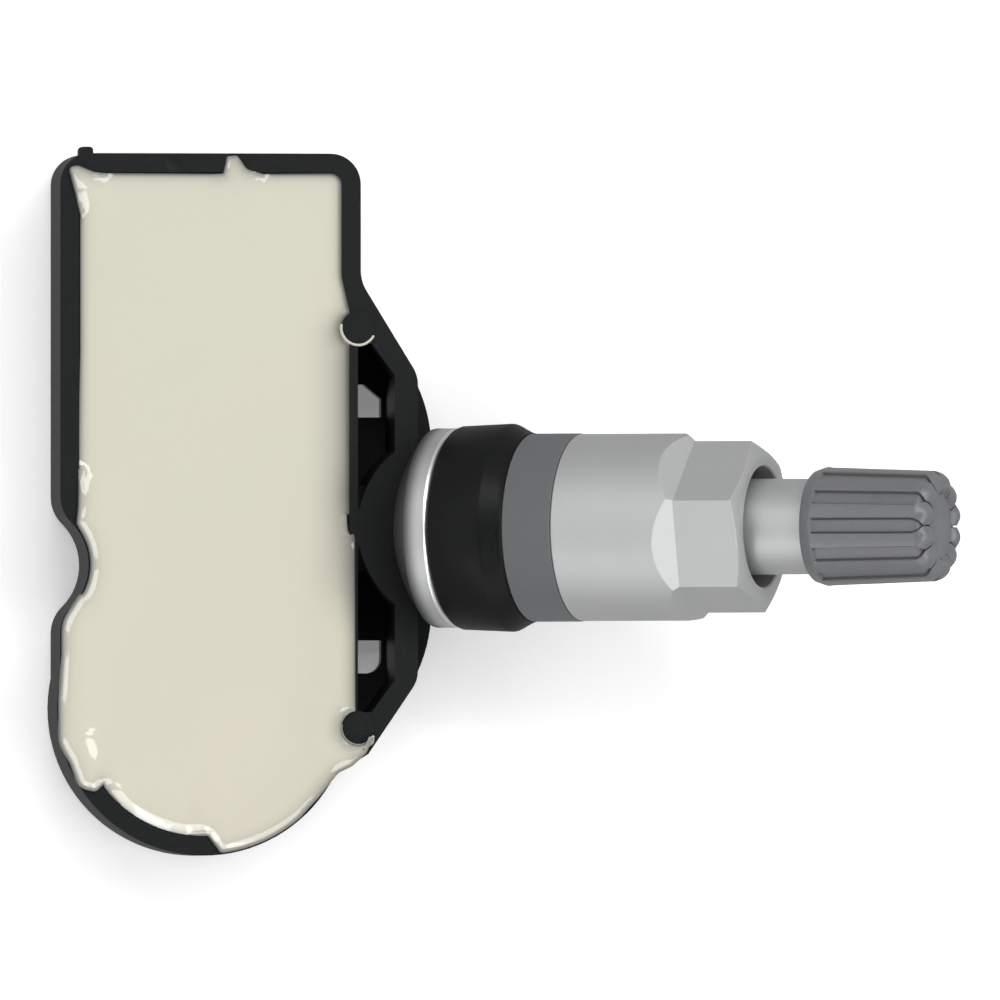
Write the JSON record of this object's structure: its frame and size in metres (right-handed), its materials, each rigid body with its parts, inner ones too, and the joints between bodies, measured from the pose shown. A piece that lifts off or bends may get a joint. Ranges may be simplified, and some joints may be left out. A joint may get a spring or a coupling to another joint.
{
  "type": "tyre pressure sensor",
  "caption": "Potted sensor housing with a ball-socket bracket and a swivelling clamp-in metal valve, with rim gasket, collar nut, valve core and ribbed cap.",
  "frame": {"origin": "on the flat back face of the housing, straight below the pole of the stem's domed foot", "axes": "+Z out of the potted face, +X towards the valve, +Y along the housing's length; the valve rises from +X by 26.5 degrees"},
  "size_m": [0.0698, 0.0558, 0.0302],
  "materials": {
    "housing_plastic": "moulded, fine grain",
    "resin": "cast, glossy",
    "board_green": "solder mask",
    "cell_can": "satin can",
    "tab_nickel": "rolled strip",
    "chip_black": "moulded package",
    "silicone": "soft, translucent",
    "membrane_white": "filter disc",
    "ferrite": "sintered",
    "copper": "enamelled wire",
    "component": "plated",
    "valve_metal": "satin",
    "screw_steel": "plated",
    "gasket_rubber": "moulded",
    "washer_grey": "matte",
    "core_brass": "turned",
    "core_rubber": "moulded",
    "spring_steel": "drawn wire",
    "cap_plastic": "semi-gloss"
  },
  "bodies": {
    "sensor": {"housing": "housing_plastic", "potting_compound": "resin", "port_membrane": "membrane_white", "circuit_board": "board_green", "coin_cell": "cell_can", "cell_tab_positive": "tab_nickel", "cell_tab_negative": "tab_nickel", "sensor_chip": "chip_black", "port_seal": "silicone", "lf_coil_core": "ferrite", "lf_coil_winding": "copper", "crystal": "component", "chip_capacitors": "component", "antenna_loop": "tab_nickel"},
    "valve": {"valve_stem": "valve_metal", "stem_screw": "screw_steel", "rubber_gasket": "gasket_rubber", "core_barrel": "core_brass", "core_packing": "core_rubber", "core_spring": "spring_steel"},
    "washer": {"thrust_washer": "washer_grey"},
    "nut": {"collar_nut": "valve_metal"},
    "seal": {"cap_seal": "core_rubber"},
    "cap": {"valve_cap": "cap_plastic"},
    "pin": {"core_pin": "core_brass", "core_seal": "core_rubber"}
  },
  "joints": [
    {"name": "stem_swivel", "type": "hinge", "parent": "sensor", "child": "valve", "pos_m": [0.01074, 0, 0.01177], "axis": [0, -1, 0], "range_deg": [-2.5, 10]},
    {"name": "washer_slide", "type": "slide", "parent": "valve", "child": "washer", "axis": [0.8949, 0, 0.4462], "range_m": [0, 0.004]},
    {"name": "nut_turn", "type": "hinge", "parent": "washer", "child": "nut", "pos_m": [0.0179, 0, 0.01534], "axis": [0.8949, 0, 0.4462], "range_deg": [0, 1441]},
    {"name": "cap_slide", "type": "slide", "parent": "valve", "child": "seal", "axis": [0.8949, 0, 0.4462], "range_m": [0, 0.00794]},
    {"name": "cap_turn", "type": "hinge", "parent": "seal", "child": "cap", "pos_m": [0.0358, 0, 0.02427], "axis": [0.8949, 0, 0.4462], "range_deg": [0, 3601]},
    {"name": "pin_press", "type": "slide", "parent": "valve", "child": "pin", "axis": [-0.8949, 0, -0.4462], "range_m": [0, 0.0012], "stiffness_N_per_m": 800, "springref_m": -0.003, "deforming": ["core_spring"]}
  ],
  "couplings": [
    {"joint": "nut_turn", "follows": "washer_slide", "rad_per_m": 6283.2},
    {"joint": "cap_turn", "follows": "cap_slide", "rad_per_m": 7915.8}
  ]
}
